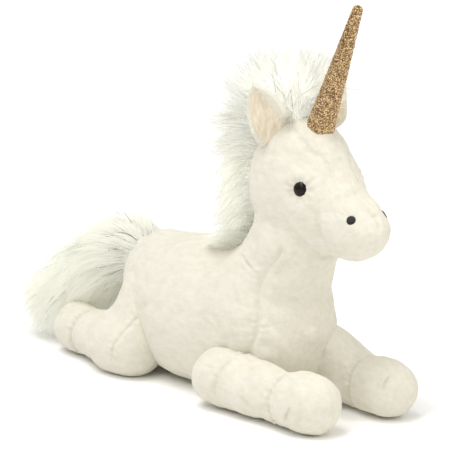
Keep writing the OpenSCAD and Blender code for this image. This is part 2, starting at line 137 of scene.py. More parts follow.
TORSO_ROWS = stations(TORSO)
HEAD_ROWS = stations(HEAD)


def loft(p, rows):
    """Distance to a body of oval rings."""
    y = np.clip(p[..., 1], rows[0, 0], rows[-1, 0])
    mid, half, up, down = (np.interp(y, rows[:, 0], rows[:, k]) for k in (1, 2, 3, 4))
    x = p[..., 0]
    z = p[..., 2] - mid
    tall = np.where(z > 0, up, down)
    share = np.maximum(np.sqrt((x / half) ** 2 + (z / tall) ** 2), 1e-6)
    reach = np.sqrt(x * x + z * z)
    return (share - 1) * np.maximum(reach / share, 0.5) + np.abs(p[..., 1] - y)


def cone(p, a, b, ra, rb):
    """Distance to a limb with round ends."""
    a, b = np.array(a, float), np.array(b, float)
    along = b - a
    h = np.clip((p - a) @ along / (along @ along), 0, 1)
    return np.linalg.norm(p - a - h[..., None] * along, axis=-1) - (ra + (rb - ra) * h)


def join(a, b, k):
    """Union of two fields with a fillet of about k."""
    h = np.clip(0.5 + 0.5 * (b - a) / k, 0, 1)
    return b * (1 - h) + a * h - k * h * (1 - h)


def on_floor(d, p, k=5.0):
    """Cuts a field flat where it rests on the floor, with a soft edge."""
    return -join(-d, p[..., 2], k)


def trunk(p):
    """Torso, neck and head as one stuffed form."""
    torso = loft(p, TORSO_ROWS)
    fore = cone(p, (0, -56, 74), (0, -85, 120), 36, 27)
    aft = cone(p, (0, -52, 76), (0, -76, 120), 35, 27)
    up_fore = cone(p, (0, -85, 120), (0, -85, 150), 27, 26)
    up_aft = cone(p, (0, -76, 120), (0, -76, 150), 27, 26)
    neck = join(join(fore, aft, 8), join(up_fore, up_aft, 8), 6)
    body = join(torso, neck, 16)
    return on_floor(join(body, loft(p, HEAD_ROWS), 5), p)


def front_leg(p):
    leg = cone(p, ELBOW, WRIST, 21.5, 18)
    hoof = cone(p, HOOF_BACK, HOOF_FRONT, 20.5, 20.5)
    return on_floor(join(leg, hoof, 3), p)


def far_front_leg(p):
    """The left leg, whose shoulder is stuffed up against the chest."""
    shoulder = cone(p, (25, -83, 38), (35.5, -106, 21), 19, 17.5)
    return on_floor(join(front_leg(p), shoulder, 6), p)


def hind_leg(p):
    knee = cone(p, (38, 62, 22), (38, 74, 22), 22, 22)
    thigh = cone(p, (38, 65, 26), (29.5, 64, 65), 20.5, 13)
    shank = cone(p, (36.5, 80, 21.5), (31.6, 121, 18), 21, 17)
    hoof = cone(p, (31.6, 129, 18.5), (30, 140, 18.5), 18.5, 18.5)
    leg = join(join(knee, thigh, 10), shank, 8)
    return on_floor(join(leg, hoof, 3), p)


def unit(v):
    return v / np.maximum(np.linalg.norm(v, axis=-1, keepdims=True), 1e-9)


def gradient(field, p, step=0.3):
    g = np.empty_like(p)
    for k in range(3):
        e = np.zeros(3)
        e[k] = step
        g[..., k] = (field(p + e) - field(p - e)) / (2 * step)
    return g


def project(field, p, rounds=3):
    """Moves points onto a field's surface."""
    for _ in range(rounds):
        g = gradient(field, p)
        p = p - g * (field(p) / np.maximum((g * g).sum(-1), 0.05))[..., None]
    return p


def net(field, low, high, step):
    """Quad mesh of a field's surface: vertices and faces."""
    axes = [np.arange(a - step, b + 2 * step, step) for a, b in zip(low, high)]
    grid = np.stack(np.meshgrid(*axes, indexing="ij"), -1)
    f = field(grid)
    inside = f < 0
    cells = tuple(n - 1 for n in f.shape)
    place = np.zeros(cells + (3,))
    hits = np.zeros(cells)
    for axis in range(3):
        n = f.shape[axis]
        low_f = np.take(f, range(n - 1), axis)
        high_f = np.take(f, range(1, n), axis)
        cross = (low_f < 0) != (high_f < 0)
        t = np.where(cross, low_f / np.where(cross, low_f - high_f, 1), 0)
        point = np.take(grid, range(n - 1), axis)
        point[..., axis] += t * step
        others = [k for k in range(3) if k != axis]
        for i in (0, 1):
            for j in (0, 1):
                cut = [slice(None)] * 3
                cut[others[0]] = slice(i, cells[others[0]] + i)
                cut[others[1]] = slice(j, cells[others[1]] + j)
                c = cross[tuple(cut)]
                place += np.where(c[..., None], point[tuple(cut)], 0)
                hits += c
    active = hits > 0
    index = np.full(cells, -1)
    index[active] = np.arange(active.sum())
    verts = place[active] / hits[active][:, None]
    faces = []
    for axis in range(3):
        n = f.shape[axis]
        low_in = np.take(inside, range(n - 1), axis)
        high_in = np.take(inside, range(1, n), axis)
        at = np.argwhere(low_in != high_in)
        u, v = np.eye(3, dtype=int)[(axis + 1) % 3], np.eye(3, dtype=int)[(axis + 2) % 3]
        corners = [at - u - v, at - v, at, at - u]
        quads = np.stack([index[tuple(c.T)] for c in corners], -1)
        out = low_in[tuple(at.T)]
        faces.append(np.where(out[:, None], quads, quads[:, ::-1]))
    return relax(field, verts, np.vstack(faces))


def relax(field, verts, faces, rounds=4):
    """Evens out a net's quads and keeps it on the surface."""
    edges = np.vstack([faces[:, [k, (k + 1) % 4]] for k in range(4)])
    for _ in range(rounds):
        total = np.zeros_like(verts)
        count = np.zeros(len(verts))
        np.add.at(total, edges[:, 0], verts[edges[:, 1]])
        np.add.at(count, edges[:, 0], 1)
        verts = 0.4 * verts + 0.6 * total / count[:, None]
        verts = project(field, verts, 1)
    return project(field, verts, 2), faces


# ---- Meshes ----


def make(name, verts, faces, material):
    """A piece from vertices in metres in the shared frame."""
    mesh = bpy.data.meshes.new(name)
    mesh.from_pydata([tuple(v) for v in verts], [], [tuple(int(i) for i in f) for f in faces])
    mesh.validate()
    mesh.materials.append(material)
    mesh.polygons.foreach_set("use_smooth", np.ones(len(mesh.polygons), bool))
    piece = bpy.data.objects.new(name, mesh)
    bpy.context.scene.collection.objects.link(piece)
    return piece


def bands(rings, around):
    """Quads between rings of points."""
    quads = []
    for i in range(rings - 1):
        for k in range(around):
            a, b = i * around + k, i * around + (k + 1) % around
            quads.append((a, b, b + around, a + around))
    return quads


def coords(piece):
    co = np.empty(len(piece.data.vertices) * 3, np.float32)
    piece.data.vertices.foreach_get("co", co)
    return co.reshape(-1, 3).astype(float)


def set_coords(piece, co):
    piece.data.vertices.foreach_set("co", co.astype(np.float32).ravel())
    piece.data.update()


def sewing(piece):
    """A piece's vertices in the sewing frame."""
    return coords(piece) / MM - MIDDLE


def normals(piece):
    no = np.empty(len(piece.data.vertices) * 3, np.float32)
    piece.data.vertex_normals.foreach_get("vector", no)
    return no.reshape(-1, 3).astype(float)


CLOTH_STEPS = 20
CLOTH = {
    "quality": 5,
    "mass": 0.25,
    "tension_stiffness": 12,
    "compression_stiffness": 12,
    "bending_stiffness": 0.4,
    "shrink_min": -0.03,
    "use_pressure": True,
    "uniform_pressure_force": 4.0,
}


def swell(piece, pinned, cap):
    """Blows a cover up by cloth simulation. pinned is 0 to 1 for each vertex; cap is in metres."""
    scene = bpy.context.scene
    start = coords(piece)
    group = piece.vertex_groups.new(name="sewn")
    for i in np.nonzero(pinned > 0.05)[0]:
        group.add([int(i)], float(pinned[i]), "REPLACE")
    cloth = piece.modifiers.new("cloth", "CLOTH")
    for key, value in CLOTH.items():
        setattr(cloth.settings, key, value)
    cloth.settings.vertex_group_mass = "sewn"
    cloth.settings.effector_weights.gravity = 0
    for step in range(1, CLOTH_STEPS + 1):
        scene.frame_set(step)
    graph = bpy.context.evaluated_depsgraph_get()
    shape = piece.evaluated_get(graph).to_mesh()
    moved = np.empty(len(shape.vertices) * 3, np.float32)
    shape.vertices.foreach_get("co", moved)
    moved = moved.reshape(-1, 3).astype(float) - start
    piece.modifiers.clear()
    piece.vertex_groups.clear()
    scene.frame_set(1)
    far = np.linalg.norm(moved, axis=1)
    moved *= (cap * np.tanh(far / cap) / np.maximum(far, 1e-9))[:, None]
    end = start + moved
    end[:, 2] = np.maximum(end[:, 2], 0)
    set_coords(piece, end)


def subdivide(piece):
    piece.modifiers.new("smooth", "SUBSURF").levels = 2
    graph = bpy.context.evaluated_depsgraph_get()
    mesh = bpy.data.meshes.new_from_object(piece.evaluated_get(graph))
    old = piece.data
    piece.modifiers.clear()
    piece.data = mesh
    bpy.data.meshes.remove(old)
    mesh.name = piece.name


def waves(p, length, seed, count=14):
    """Smooth random ripples of about one wavelength, from -1 to 1."""
    rng = np.random.default_rng(seed)
    k = rng.normal(size=(count, 3))
    k *= (2 * np.pi / length * rng.uniform(0.7, 1.4, count) / np.linalg.norm(k, axis=1))[:, None]
    phase = rng.uniform(0, 2 * np.pi, count)
    return np.cos(p @ k.T + phase).sum(-1) / math.sqrt(count / 2) / 1.6


def fade(value, start, end):
    """0 before start, 1 after end, smooth between. start may be above end."""
    t = np.clip((value - start) / (end - start), 0, 1)
    return t * t * (3 - 2 * t)


def bell(value, width):
    return np.exp(-((value / width) ** 2))


# Distance from one pucker to the next along a seam.
PUCKER_GAP = 5.2


def seam(p, off, along, gate, depth, width, pucker, seed):
    """Height of the surface near a seam: a groove, a rolled edge each side and puckers across it.

    off is the distance from the seam line, along runs down it, and gate is where it is sewn.
    """
    groove = -depth * bell(off, width)
    roll = 0.35 * depth * bell(np.abs(off) - 3.2, 2.2)
    beat = np.cos(2 * np.pi * along / PUCKER_GAP + 2.0 * waves(p, 18, seed))
    beat = beat * (0.6 + 0.4 * waves(p, 24, seed + 1))
    tuck = pucker * beat * bell(off, 4.5) * (1 - 0.6 * bell(off, 0.8))
    return (groove + roll + tuck) * gate


def crease(field, p, a, b, depth, width, lift=0.4):
    """A soft fold between two points. Only the distance along the field's surface counts."""
    a, b = np.array(a, float), np.array(b, float)
    along = b - a
    h = np.clip((p - a) @ along / (along @ along), 0, 1)
    off = p - a - h[:, None] * along
    deep = off @ unit(gradient(field, (a + b)[None] / 2)[0])
    d = np.sqrt(np.maximum((off * off).sum(1) - deep * deep, 0))
    d = d + 10 * np.maximum(np.abs(deep) - 7, 0)
    ends = np.sin(np.pi * np.clip(h, 0.04, 0.96)) ** 0.6
    roll = lift * bell(d - 2.2 * width, 1.2 * width)
    return depth * ends * (roll - bell(d, width))


def creases(field, p, rows):
    """Folds from rows of start, end, depth and width."""
    return sum(crease(field, p, *fold) for fold in rows)


# ---- Materials ----


def set_inputs(node, inputs):
    for key, value in inputs.items():
        node.inputs[key.replace("_", " ")].default_value = value


class Nodes:
    """Builds one procedural material on a Principled shader."""

    def __init__(self, name):
        self.material = bpy.data.materials.new(name)
        self.material.use_nodes = True
        self.tree = self.material.node_tree
        self.shader = self.tree.nodes["Principled BSDF"]
        self.place = self.add("ShaderNodeTexCoord").outputs["Object"]

    def add(self, kind, **inputs):
        node = self.tree.nodes.new(kind)
        set_inputs(node, inputs)
        return node

    def link(self, out, socket):
        self.tree.links.new(out, socket)

    def set(self, **inputs):
        set_inputs(self.shader, inputs)

    def noise(self, scale, detail=2.0, roughness=0.5, stretch=(1, 1, 1)):
        mapping = self.add("ShaderNodeMapping", Scale=stretch)
        self.link(self.place, mapping.inputs["Vector"])
        node = self.add("ShaderNodeTexNoise", Scale=scale, Detail=detail, Roughness=roughness)
        self.link(mapping.outputs["Vector"], node.inputs["Vector"])
        return node.outputs["Fac"]

    def flakes(self, scale):
        """A random grey for each small cell."""
        node = self.add("ShaderNodeTexVoronoi", Scale=scale)
        self.link(self.place, node.inputs["Vector"])
        grey = self.add("ShaderNodeRGBToBW")
        self.link(node.outputs["Color"], grey.inputs["Color"])
        return grey.outputs["Val"]

    def ramp(self, fac, stops):
        node = self.add("ShaderNodeValToRGB")
        band = node.color_ramp
        while len(band.elements) < len(stops):
            band.elements.new(0.5)
        for element, (place, colour) in zip(band.elements, stops):
            element.position = place
            element.color = (*colour, 1)
        self.link(fac, node.inputs["Fac"])
        return node.outputs["Color"]

    def span(self, fac, low, high):
        node = self.add("ShaderNodeMapRange", To_Min=low, To_Max=high)
        self.link(fac, node.inputs["Value"])
        return node.outputs["Result"]

    def paint(self, fac, dark, light, rough=None):
        """Colours the shader by a pattern, and sets its roughness between two values by it."""
        tone = self.ramp(fac, [(0.3, dark), (0.7, light)])
        self.link(tone, self.shader.inputs["Base Color"])
        if rough:
            self.link(self.span(fac, *rough), self.shader.inputs["Roughness"])
        return tone

    def sum(self, a, b, share):
        node = self.add("ShaderNodeMath")
        node.operation = "MULTIPLY_ADD"
        self.link(b, node.inputs[0])
        node.inputs[1].default_value = share
        self.link(a, node.inputs[2])
        return node.outputs["Value"]

    def let_through(self, colour, share):
        """Lets part of the light pass through, as thin fibres do."""
        leaf = self.add("ShaderNodeBsdfTranslucent")
        self.link(colour, leaf.inputs["Color"])
        mix = self.add("ShaderNodeMixShader", Fac=share)
        self.link(self.shader.outputs["BSDF"], mix.inputs[1])
        self.link(leaf.outputs["BSDF"], mix.inputs[2])
        self.link(mix.outputs["Shader"], self.tree.nodes["Material Output"].inputs["Surface"])

    def bump(self, height, strength, distance):
        node = self.add("ShaderNodeBump", Strength=strength, Distance=distance)
        self.link(height, node.inputs["Height"])
        self.link(node.outputs["Normal"], self.shader.inputs["Normal"])


def plush_material():
    m = Nodes("short_pile_plush")
    nap = m.noise(260, 3, 0.6, (1, 0.45, 1))
    pile = m.noise(1500, 2, 0.6)
    m.paint(nap, (0.735, 0.695, 0.58), (0.805, 0.78, 0.68), (0.82, 0.96))
    m.bump(m.sum(pile, nap, 0.8), 0.65, 0.0009)
    m.set(Specular_IOR_Level=0.2, Sheen_Weight=0.25, Sheen_Roughness=0.5)
    m.set(Sheen_Tint=(1.0, 0.98, 0.93, 1))
    return m.material


def fur_material(name, painted_glow):
    """Fine white fibres. The second argument is an emission strength: painted light that makes the
    fibres glow, a stand-in for the light scattered between them.
    """
    m = Nodes(name)
    lock = m.noise(55, 2, 0.5)
    tone = m.paint(lock, (0.92, 0.92, 0.86), (0.96, 0.96, 0.915), (0.55, 0.8))
    # Emission: painted light, the fibres glow though they are no lamp.
    m.set(Specular_IOR_Level=0.2, Emission_Strength=painted_glow)
    m.set(Emission_Color=(1.0, 0.99, 0.94, 1))
    m.let_through(tone, 0.5)
    return m.material


def two_tone(name, noise, dark, light, rough=None, bump=None, **sockets):
    """A material in two tones of one noise pattern."""
    m = Nodes(name)
    fac = m.noise(*noise)
    m.paint(fac, dark, light, rough)
    if bump:
        m.bump(fac, *bump)
    m.set(**sockets)
    return m.material


def glitter_material():
    m = Nodes("glitter_cloth")
    flake = m.flakes(1500)
    dark, bronze, gold = (0.13, 0.075, 0.033), (0.39, 0.25, 0.12), (0.96, 0.72, 0.42)
    stops = [(0.15, dark), (0.5, bronze), (0.85, gold)]
    m.link(m.ramp(flake, stops), m.shader.inputs["Base Color"])
    m.link(m.span(flake, 0.55, 0.2), m.shader.inputs["Roughness"])
    m.bump(flake, 0.9, 0.0006)
    m.set(Metallic=0.85)
    return m.material


PLUSH = plush_material()
# The same long pile with two strengths of painted glow: less on the tail and lower mane, which the
# lamps light more.
FUR = fur_material("long_pile", 0.41)
TAIL_FUR = fur_material("tail_pile", 0.17)
GLITTER = glitter_material()
LINING = two_tone("ear_satin", (420, 3, 0.6, (1, 1, 0.25)), (0.62, 0.53, 0.38), (0.84, 0.765, 0.62),
                  (0.4, 0.65), (0.4, 0.0005), Sheen_Weight=0.3)
EYE_PLASTIC = two_tone("eye_plastic", (300,), (0.006, 0.004, 0.003), (0.014, 0.009, 0.007),
                       (0.08, 0.12), Specular_IOR_Level=0.2)
WASHER = two_tone("washer_plastic", (200,), (0.60, 0.60, 0.58), (0.68, 0.68, 0.66), (0.35, 0.5))
THREAD = two_tone("black_thread", (2600, 2, 0.6, (1, 1, 0.3)), (0.008, 0.007, 0.007),
                  (0.03, 0.026, 0.025), (0.45, 0.65), (0.5, 0.0002))


# Heights between which seams and folds fade in above the floor.
OFF_FLOOR = (0.2, 3.0)


def stuffed(name, field, box, step, cap, pins, seams):
    """A swollen cover with its seams and folds worked into the mesh. cap is in metres."""
    verts, faces = net(field, *box, step)
    piece = make(name, row(verts), faces, PLUSH)
    swell(piece, pins(verts), cap)
    subdivide(piece)
    p = sewing(piece)
    p = p + normals(piece) * (seams(p) * fade(p[:, 2], *OFF_FLOOR))[:, None]
    p[:, 2] = np.maximum(p[:, 2], 0)
    set_coords(piece, row(p))
    return piece


# ---- Trunk: torso, neck and head ----

TRUNK_BOX = ((-48, -172, 0), (48, 103, 210))
TRUNK_STEP = 4.0
TRUNK_CAP = 0.004
# Half the width of the gusset down the chest and throat, at some heights.
CHEST_Z = [8, 47, 79, 104, 117, 124, 150]
CHEST_HALF = [31, 36, 33, 29.0, 26.6, 26.2, 20]
# Half the width of the forehead gusset, from the muzzle back.
FOREHEAD_Y = [-134, -126, -116, -104, -96]
FOREHEAD_HALF = [9.5, 10.5, 14.0, 17.5, 16]
# Folds on each side of the trunk: start, end, depth and width.
HEAD_CREASES = [
    ((23.5, -121, 168), (19.5, -125, 174), 0.7, 1.1),
    ((24, -122, 164), (21, -128, 167), 0.6, 1.1),
    ((27, -110, 160), (29, -103, 158), 0.5, 1.2),
    ((15, -150, 148), (17.5, -145, 153), 0.5, 1.0),
    ((14, -157, 142), (16, -152, 136), 0.5, 1.2),
]
BODY_CREASES = [
    ((29, -56, 108), (31, -73, 101), 1.5, 1.2),
    ((40, -20, 84), (31, -34, 104), 1.2, 2.2),
    ((36, -58, 88), (37, -66, 74), 0.9, 1.4),
    ((44, -30, 62), (42, -50, 52), 0.9, 2.2),
    ((46, 8, 40), (44, 34, 34), 0.7, 3.4),
    ((45, 22, 62), (42, 46, 52), 0.7, 2.6),
]


def chest_half(z):
    return np.interp(z, CHEST_Z, CHEST_HALF)


def away(p, place):
    """Distance of each point from a place and its mirror image."""
    off = np.stack([np.abs(p[:, 0]), p[:, 1], p[:, 2]], 1) - place
    return np.sqrt((off * off).sum(1))


def trunk_seams(p):
    """Height that the trunk's seams, folds and puckers add."""
    x, y, z = p.T
    across = np.abs(x)
    is_head = fade(z + 0.35 * (y + 100), 116, 124) * fade(y, -40, -46)
    front = fade(y + 0.25 * (z - 60), -56, -64) * (1 - fade(z, 118, 126)) * fade(z, 2, 14)
    h = seam(p, across - chest_half(z), z, front, 1.9, 1.1, 0.3, 11)
    back = fade(z, 70, 84) * fade(y, -30, -20) * (1 - fade(y, 90, 98))
    h += seam(p, x, y, back, 0.7, 1.3, 0.2, 12)
    belly = (1 - fade(z, 6, 12)) * fade(y, -60, -50) * (1 - fade(y, 70, 80))
    h += seam(p, across - 15, y, belly, 0.8, 1.5, 0.2, 13)

    muzzle = (y - MUZZLE_Y - 4 + 0.007 * (across - 12) ** 2) / 1.1
    low = 1 - fade(z, 146, 158)
    h += seam(p, muzzle, z + x, is_head * (0.25 + 0.75 * low), 1.7, 1.5, 0.4, 14)
    half = np.interp(y, FOREHEAD_Y, FOREHEAD_HALF)
    top = is_head * fade(y, -137, -132) * (1 - fade(y, -97, -92)) * fade(z, 152, 160)
    h += seam(p, across - half, y, top, 1.3, 1.2, 0.4, 15)
    chin = is_head * fade(y, MUZZLE_Y - 1, MUZZLE_Y + 3) * (1 - fade(y, -100, -92))
    chin = chin * (1 - fade(z, 128, 136))
    h += seam(p, across - 11, y, chin, 0.8, 1.5, 0.3, 16)
    nose = is_head * fade(y, -150, -156) * (1 - fade(z, 150, 156))
    h += seam(p, x, z, nose, 1.8, 1.5, 0.9, 17)
    philtrum = is_head * fade(y, MUZZLE_Y, MUZZLE_Y - 6) * (1 - nose)
    h += seam(p, x, z, philtrum, 0.5, 1.4, 0.15, 18)

    eye_off = away(p, EYE)
    turn = np.arctan2(z - EYE[2], y - EYE[1])
    rays = np.cos(9 * turn + 1.3 * np.sin(2 * turn)) + 0.5 * np.cos(14 * turn + 0.8)
    ring = bell(eye_off - 8.5, 3.5)
    brow = bell(eye_off - 9.5, 4.0) * fade(z - EYE[2] - 0.5 * (y - EYE[1]), -4, 6)
    # The right eye is drawn in harder, so that the cloth puckers more round it.
    pull = np.where(x < 0, 1.0, 0.4)
    h += -1.3 * bell(eye_off, 5.5) + pull * (0.45 * rays * ring + 0.9 * brow)
    h += -0.9 * bell(away(p, NOSTRIL), 4.5)
    mirrored = np.stack([across, y, z], 1)
    h += creases(trunk, mirrored, HEAD_CREASES + BODY_CREASES)
    h += 0.55 * waves(p, 46, 21) + 0.22 * waves(p, 19, 22) + 0.07 * waves(p, 8, 23)
    return h


def trunk_pins(p):
    """Where the trunk's cover is held by its seams, its eyes, nostrils and ears, and the floor, 0
    to 1.
    """
    x, y, z = p.T
    across = np.abs(x)
    front = (y < -58) & (z < 126)
    pins = front * bell(across - chest_half(z), 3.0)
    pins = np.maximum(pins, (y < MUZZLE_Y + 8) * bell(y - MUZZLE_Y - 1, 3.0))
    pins = np.maximum(pins, (y < -150) * bell(x, 3.0))
    for place, reach in ((EYE, 9), (NOSTRIL, 5), (EAR_ROOT, 14)):
        pins = np.maximum(pins, bell(away(p, place), reach))
    return np.maximum(pins, z < 1.0)


def split_trunk(piece, point, axis):
    """Cuts the trunk's mesh in two along its own edges, at a plane, and keeps its shading."""
    co = sewing(piece)
    faces = np.array([p.vertices[:] for p in piece.data.polygons])
    above = ((co[faces].mean(1) - point) @ axis) > 0
    parts = []
    for name, chosen in (("body_cover", ~above), ("head_cover", above)):
        used, compact = np.unique(faces[chosen], return_inverse=True)
        part = make(name, coords(piece)[used], compact.reshape(-1, 4), PLUSH)
        parts.append((part, normals(piece)[used]))
    bpy.data.objects.remove(piece)
    for part, normal in parts:
        part.data.normals_split_custom_set_from_vertices([tuple(n) for n in normal])
    return parts[0][0], parts[1][0]


# The plane between the body's cover and the head's.
NECK_CUT = np.array([0.0, -70.0, 100.0])
NECK_UP = np.array([0.0, -0.527, 0.85])


def build_trunk():
    piece = stuffed("trunk", trunk, TRUNK_BOX, TRUNK_STEP, TRUNK_CAP, trunk_pins, trunk_seams)
    body, head = split_trunk(piece, NECK_CUT, NECK_UP)

    def at(distance):
        return tuple(row(NECK_CUT + NECK_UP * distance))

    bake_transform(body)
    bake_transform(head)
    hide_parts("body_side_right", "body_side_left", "chest_gusset", "belly_gusset")
    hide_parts("body_stuffing", "pellet_bag", "neck_side_right", "neck_side_left")
    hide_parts("throat_gusset", "neck_stuffing")
    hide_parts("head_side_right", "head_side_left", "forehead_gusset", "jaw_gusset")
    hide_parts("muzzle_right", "muzzle_left", "head_stuffing")


# ---- Legs ----


FRONT_LEG_BOX = ((2, -160, 0), (61, -25, 63))
HIND_LEG_BOX = ((10, 38, 0), (61, 160, 84))
LEG_STEP = 3.6
LEG_CAP = 0.003
SHOULDER_Y = -63
# Folds of the legs: start, end, depth and width. The hooves' ones differ from side to side.
LEFT_HOOF_CREASES = [((27.5, -150.6, 35.2), (18, -149.8, 24.7), 1.5, 0.8)]
RIGHT_HOOF_CREASES = [((54, -140.5, 22.5), (52, -133.5, 12), 1.5, 0.8)]
FRONT_LEG_CREASES = [
    ((52, -66, 34), (30, -58, 42), 0.7, 2.5),
    ((56, -80, 18), (54, -100, 14), 0.6, 2.6),
]
HIND_LEG_CREASES = [
    ((58, 74, 30), (52, 90, 18), 0.8, 2.4),
    ((54, 62, 44), (59, 66, 24), 0.6, 2.0),
]


def leg_ripples(p, side, seed):
    """Uneven stuffing, a little different on each side."""
    h = 0.5 * waves(p, 34, seed + side) + 0.18 * waves(p, 14, seed + 2 + side)
    return h + 0.06 * waves(p, 7, seed + 4)


def front_leg_seams(p, side):
    x, y, z = p.T
    middle = np.interp(y, [-138, -48], [34, 38.5])
    turn = np.arctan2(z - 20, x - middle)
    h = seam(p, y - CUFF_Y - 1.5 * np.cos(turn), 20 * turn, 1, 2.0, 1.4, 0.6, 31)
    shoulder = y - SHOULDER_Y + 5 * np.sin(turn) * fade(z, 6, 20)
    h += seam(p, shoulder, 20 * turn, fade(z, 8, 16), 1.2, 1.1, 0.2, 32)
    under = (1 - fade(z, 8, 14)) * fade(y, CUFF_Y + 2, CUFF_Y + 8)
    h += seam(p, x - middle, y, under, 0.7, 1.5, 0.2, 34)
    hoof = LEFT_HOOF_CREASES if side > 0 else RIGHT_HOOF_CREASES
    return h + creases(front_leg, p, hoof + FRONT_LEG_CREASES) + leg_ripples(p, side, 35)


def front_leg_pins(p):
    z = p[:, 2]
    pins = bell(p[:, 1] - CUFF_Y, 3.0)
    pins = np.maximum(pins, 0.7 * bell(p[:, 1] - SHOULDER_Y, 3.0))
    return np.maximum(pins, z < 1.0)


def hind_leg_seams(p, side):
    x, y, z = p.T
    turn = np.arctan2(z - 18, x - 31)
    hock = y - HOCK_Y - 3 * np.cos(turn + 0.8)
    h = seam(p, hock, 18 * turn, fade(y, 100, 108), 1.7, 1.4, 0.5, 41)
    pad = fade(y, 140, 147)
    h += seam(p, np.hypot(x - 30, z - 18) - 9.5, 12 * turn, pad, 1.0, 1.3, 0.35, 42)
    thigh_line = (y - 52) + 0.3 * (z - 30)
    outer = fade(x, 30, 40) * fade(z, 8, 16) * (1 - fade(z, 46, 56))
    h += seam(p, thigh_line, z, outer, 0.95, 1.1, 0.5, 43)
    return h + creases(hind_leg, p, HIND_LEG_CREASES) + leg_ripples(p, side, 45)


def hind_leg_pins(p):
    pins = bell(p[:, 1] - HOCK_Y, 3.0)
    return np.maximum(pins, p[:, 2] < 1.0)


def build_leg(name, side, field, box, pins, seams, nodes):
    """One leg's cover, made as a left leg and mirrored for the right."""
    sign = SIDES[side]
    piece = stuffed(f"{name}_plush_{side}", field, box, LEG_STEP, LEG_CAP, pins,
                    lambda p: seams(p, sign))
    if sign < 0:
        set_coords(piece, row(sewing(piece) * (-1, 1, 1)))
        piece.data.flip_normals()
    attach(piece, f"{name}_{side}")
    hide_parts(*(f"{node}_{side}" for node in nodes))


# ---- Horn ----


# How far the horn's foot is sunk into the head, and how rough its glitter is.
HORN_SUNK = 3
GRIT = 0.16


def build_horn():
    rings = 150
    around = 84
    rng = np.random.default_rng(5)
    top = HORN_L - HORN_TIP_R
    verts = []
    for i in range(rings + 1):
        h = i / rings * (HORN_L + HORN_SUNK) - HORN_SUNK
        if h < top:
            r = HORN_R - (HORN_R - HORN_TIP_R) * max(h, 0) / top
        else:
            r = math.sqrt(max(HORN_TIP_R**2 - (h - top) ** 2, 0.04))
        r -= 0.6 * math.exp(-((h / 2.2) ** 2))
        for k in range(around):
            a = 2 * math.pi * (k + 0.5 * (i % 2)) / around
            rough = r + GRIT * rng.normal() * (1 if r > 1 else 0.2)
            verts.append((rough * math.cos(a), rough * math.sin(a), h + 0.1 * rng.normal()))
    faces = []
    for a, b, c, d in bands(rings + 1, around):
        if a // around % 2:
            faces += [(a, b, d), (b, c, d)]
        else:
            faces += [(a, b, c), (a, c, d)]
    faces.append(tuple(range(around - 1, -1, -1)))
    faces.append(tuple(rings * around + k for k in range(around)))
    lean = np.array(Matrix.Rotation(HORN_LEAN, 3, "X"))
    piece = make("horn_glitter", row(np.array(verts) @ lean.T + HORN_FOOT), faces, GLITTER)
    piece.data.polygons.foreach_set("use_smooth", np.zeros(len(piece.data.polygons), bool))
    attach(piece, "head")
    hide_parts("horn_cover", "horn_stuffing")


# ---- Ears ----


def ear_frame():
    turn = [math.radians(a) for a in (-40, -9, 44)]
    spin = Matrix.Rotation(turn[2], 3, "Z") @ Matrix.Rotation(turn[1], 3, "Y")
    return np.array(spin @ Matrix.Rotation(turn[0], 3, "X"))


EAR_TURN = ear_frame()
EAR_SLANT = math.atan2(10, EAR_L)
# The left ear is turned a little further forward.
EAR_TOE = math.radians(28)
# The seam that the right ear stands on, from its front corner to its back corner.
EAR_SEAM = np.array([(-9, -87, 206.5), (-18, -84, 199), (-26, -78, 188)], float)


def ear_half(t):
    """Half the width of the ear's cloth, part of the way up it."""
    low = 0.62 + 0.38 * np.sin(np.minimum(t / 0.35, 1) * np.pi / 2)
    high = np.maximum(np.cos(np.clip((t - 0.35) / 0.65, 0, 1) * np.pi / 2), 0) ** 0.75
    return 1.08 * EAR_W / 2 * np.where(t < 0.35, low, high)


def ear_points(a, t, lift=0.0):
    """Points of the cupped ear in its own frame. a is -1 to 1 across, t is 0 to 1 up."""
    curl = np.interp(t, [0, 0.3, 0.7, 1], [7.0, 12.0, 19.0, 26.0])
    angle = a * np.maximum(ear_half(t), 0.3) / curl
    out = curl + lift
    x = out * np.cos(angle) - curl + 1.5 * np.sin(np.pi * t)
    y = out * np.sin(angle)
    h = -3 + (EAR_L + 3) * t - 1.5 * a * a * (1 - t)
    c, s = math.cos(EAR_SLANT), math.sin(EAR_SLANT)
    return np.stack([x, y * c - h * s, y * s + h * c], -1)


def ear_place(points):
    """Points of the right ear from its own frame to the sewing frame."""
    return points @ EAR_TURN.T + (-EAR_ROOT[0], EAR_ROOT[1], EAR_ROOT[2])


